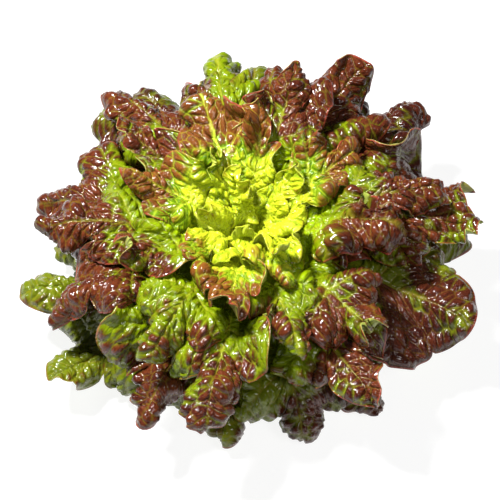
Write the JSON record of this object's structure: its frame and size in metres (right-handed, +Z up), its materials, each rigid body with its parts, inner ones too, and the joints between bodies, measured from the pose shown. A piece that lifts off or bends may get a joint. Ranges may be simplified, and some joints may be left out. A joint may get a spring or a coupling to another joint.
{
  "type": "oak leaf lettuce head",
  "caption": "Whole head of red oak leaf lettuce standing on its cut stem, lobed and curled leaves spreading from a yellow-green heart.",
  "frame": {"origin": "middle of the stem's flat cut, on the surface the head stands on", "axes": "+Z up out of the heart, away from the cut; -Y is the side towards the camera in the picture"},
  "size_m": [0.2884, 0.2972, 0.1177],
  "materials": {
    "stem": "pale cut plant stem, damp and matt",
    "outer_leaf": "glossy blistered leaf, dark red-brown over green, paler and matt below",
    "middle_leaf": "glossy blistered leaf, green with red-brown lobes, paler and matt below",
    "heart_leaf": "soft glossy yellow-green leaf"
  },
  "bodies": {
    "root": {"heart_leaf_36": "heart_leaf", "heart_leaf_37": "heart_leaf", "heart_leaf_38": "heart_leaf", "heart_leaf_39": "heart_leaf", "heart_leaf_40": "heart_leaf", "heart_leaf_41": "heart_leaf", "heart_leaf_42": "heart_leaf", "heart_leaf_43": "heart_leaf", "heart_leaf_44": "heart_leaf", "heart_leaf_45": "heart_leaf", "heart_leaf_46": "heart_leaf", "heart_leaf_47": "heart_leaf", "heart_leaf_48": "heart_leaf", "heart_leaf_49": "heart_leaf", "heart_leaf_50": "heart_leaf", "middle_leaf_16": "middle_leaf", "middle_leaf_17": "middle_leaf", "middle_leaf_18": "middle_leaf", "middle_leaf_19": "middle_leaf", "middle_leaf_20": "middle_leaf", "middle_leaf_21": "middle_leaf", "middle_leaf_22": "middle_leaf", "middle_leaf_23": "middle_leaf", "middle_leaf_24": "middle_leaf", "middle_leaf_25": "middle_leaf", "middle_leaf_26": "middle_leaf", "middle_leaf_27": "middle_leaf", "middle_leaf_28": "middle_leaf", "middle_leaf_29": "middle_leaf", "middle_leaf_30": "middle_leaf", "middle_leaf_31": "middle_leaf", "middle_leaf_32": "middle_leaf", "middle_leaf_33": "middle_leaf", "middle_leaf_34": "middle_leaf", "middle_leaf_35": "middle_leaf", "outer_leaf_01": "outer_leaf", "outer_leaf_02": "outer_leaf", "outer_leaf_03": "outer_leaf", "outer_leaf_04": "outer_leaf", "outer_leaf_05": "outer_leaf", "outer_leaf_06": "outer_leaf", "outer_leaf_07": "outer_leaf", "outer_leaf_08": "outer_leaf", "outer_leaf_09": "outer_leaf", "outer_leaf_10": "outer_leaf", "outer_leaf_11": "outer_leaf", "outer_leaf_12": "outer_leaf", "outer_leaf_13": "outer_leaf", "outer_leaf_14": "outer_leaf", "outer_leaf_15": "outer_leaf", "stem": "stem"}
  },
  "joints": []
}
